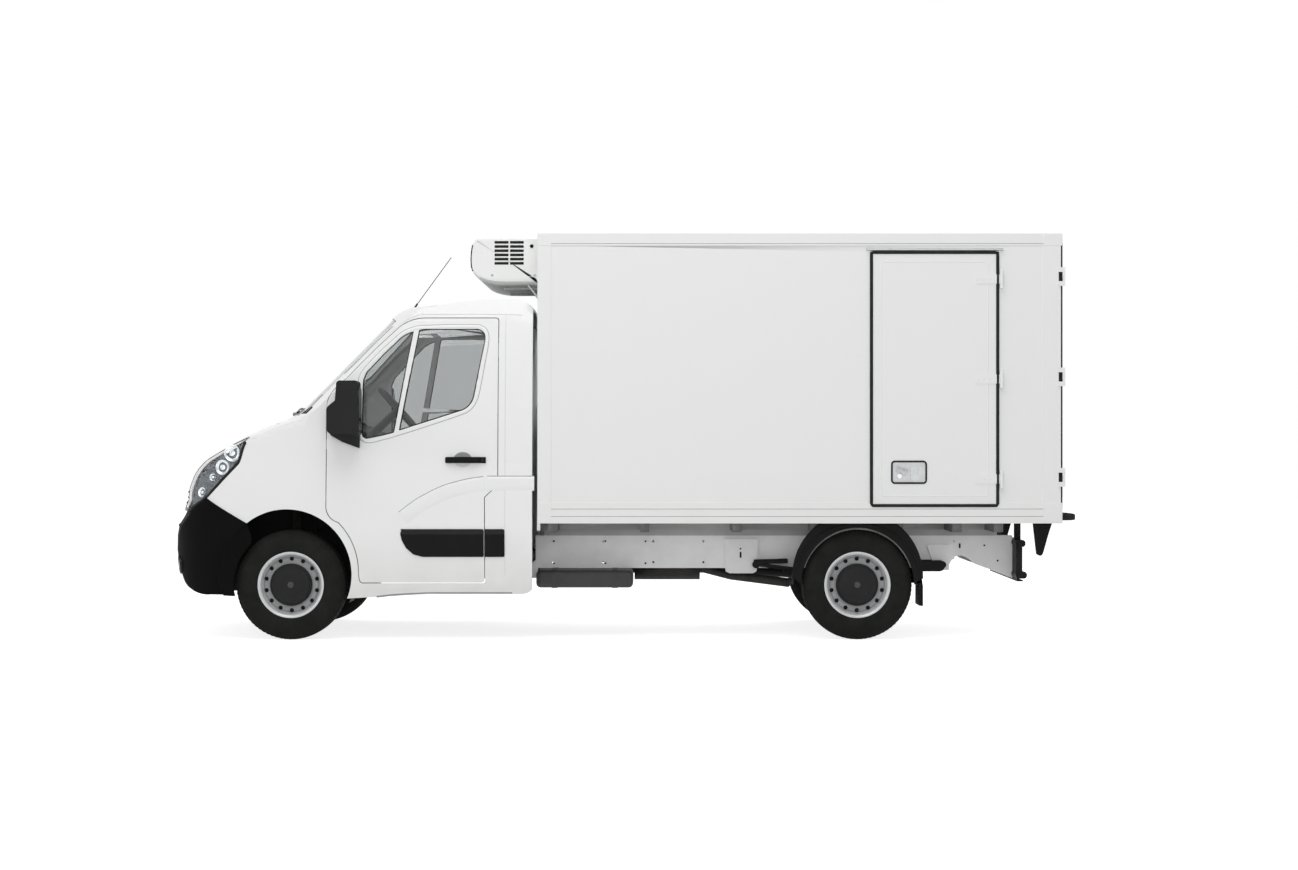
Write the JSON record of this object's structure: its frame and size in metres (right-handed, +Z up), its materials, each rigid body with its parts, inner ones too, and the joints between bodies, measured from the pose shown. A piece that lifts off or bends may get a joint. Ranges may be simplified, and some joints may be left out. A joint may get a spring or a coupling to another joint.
{
  "type": "refrigerated truck",
  "caption": "Van-type chassis cab with an insulated box body, side and rear doors, and a refrigeration unit on the nose of the box.",
  "frame": {"origin": "middle of the footprint, on the ground", "axes": "+X forward, +Y to the vehicle left, +Z up"},
  "size_m": [5.953, 2.47, 2.634],
  "materials": {
    "white_paint": "gloss white paint",
    "frame_paint": "grey frame paint",
    "dark_steel": "black coated steel",
    "black_plastic": "grained",
    "dark_plastic": "grained",
    "seat_cloth": "woven",
    "rubber": "moulded",
    "tyre": "moulded",
    "rim_steel": "silver wheel paint",
    "exhaust_steel": "dull",
    "glass": "clear",
    "lamp_glass": "clear lens"
  },
  "bodies": {
    "root": {"frame_rails": "frame_paint", "crossmembers": "frame_paint", "subframe": "frame_paint", "rear_beam": "dark_steel", "rear_brackets": "black_plastic", "rear_buffers": "rubber", "engine_block": "dark_steel", "fuel_tank": "black_plastic", "exhaust": "exhaust_steel", "rear_axle": "dark_steel", "leaf_springs": "dark_steel", "spring_hangers": "frame_paint", "front_suspension": "dark_steel", "cab_shell": "white_paint", "windscreen": "glass", "front_fenders": "white_paint", "bumper": "black_plastic", "grille": "black_plastic", "headlamps": "lamp_glass", "arch_liners": "black_plastic", "dashboard": "dark_plastic", "seats": "seat_cloth", "box_body": "white_paint", "refrigeration_unit": "white_paint", "rear_mudguards": "black_plastic"},
    "bonnet": {"bonnet": "white_paint"},
    "side_door": {"side_door": "white_paint"},
    "rear_door_left": {"rear_door_left": "white_paint"},
    "rear_door_right": {"rear_door_right": "white_paint"},
    "cab_door_left": {"cab_door_left": "white_paint", "door_glass_left": "glass", "mirror_left": "black_plastic"},
    "cab_door_right": {"cab_door_right": "white_paint", "door_glass_right": "glass", "mirror_right": "black_plastic"},
    "steering_left": {"knuckle_left": "dark_steel"},
    "steering_right": {"knuckle_right": "dark_steel"},
    "wheel_front_left": {"tyre_front_left": "tyre", "rim_front_left": "rim_steel"},
    "wheel_front_right": {"tyre_front_right": "tyre", "rim_front_right": "rim_steel"},
    "wheel_rear_left": {"tyre_rear_left": "tyre", "rim_rear_left": "rim_steel"},
    "wheel_rear_right": {"tyre_rear_right": "tyre", "rim_rear_right": "rim_steel"}
  },
  "joints": [
    {"name": "steer_left", "type": "hinge", "parent": "root", "child": "steering_left", "pos_m": [2.1215, 0.8, 0.357], "axis": [0, 0, 1], "range_deg": [-32, 32]},
    {"name": "steer_right", "type": "hinge", "parent": "root", "child": "steering_right", "pos_m": [2.1215, -0.8, 0.357], "axis": [0, 0, 1], "range_deg": [-32, 32]},
    {"name": "wheel_front_left_spin", "type": "hinge", "parent": "steering_left", "child": "wheel_front_left", "pos_m": [2.1215, 0.875, 0.357], "axis": [0, 1, 0], "continuous": true},
    {"name": "wheel_front_right_spin", "type": "hinge", "parent": "steering_right", "child": "wheel_front_right", "pos_m": [2.1215, -0.875, 0.357], "axis": [0, 1, 0], "continuous": true},
    {"name": "wheel_rear_left_spin", "type": "hinge", "parent": "root", "child": "wheel_rear_left", "pos_m": [-1.5605, 0.865, 0.357], "axis": [0, 1, 0], "continuous": true},
    {"name": "wheel_rear_right_spin", "type": "hinge", "parent": "root", "child": "wheel_rear_right", "pos_m": [-1.5605, -0.865, 0.357], "axis": [0, 1, 0], "continuous": true},
    {"name": "cab_door_left_swing", "type": "hinge", "parent": "root", "child": "cab_door_left", "pos_m": [1.8805, 1.04, 0.7], "axis": [0, 0.058, -0.9983], "range_deg": [0, 70]},
    {"name": "cab_door_right_swing", "type": "hinge", "parent": "root", "child": "cab_door_right", "pos_m": [1.8805, -1.04, 0.7], "axis": [0, 0.058, 0.9983], "range_deg": [0, 70]},
    {"name": "bonnet_lift", "type": "hinge", "parent": "root", "child": "bonnet", "pos_m": [2.2385, 0, 1.442], "axis": [0, -1, 0], "range_deg": [0, 60]},
    {"name": "side_door_swing", "type": "hinge", "parent": "root", "child": "side_door", "pos_m": [-2.4845, 1.07, 1.693], "axis": [0, 0, 1], "range_deg": [0, 120]},
    {"name": "rear_door_left_swing", "type": "hinge", "parent": "root", "child": "rear_door_left", "pos_m": [-2.8995, 1.065, 1.7], "axis": [0, 0, 1], "range_deg": [-265, 0]},
    {"name": "rear_door_right_swing", "type": "hinge", "parent": "root", "child": "rear_door_right", "pos_m": [-2.8995, -1.065, 1.7], "axis": [0, 0, 1], "range_deg": [0, 265]}
  ],
  "couplings": [
    {"joint": "steer_right", "follows": "steer_left", "ratio": 1}
  ]
}
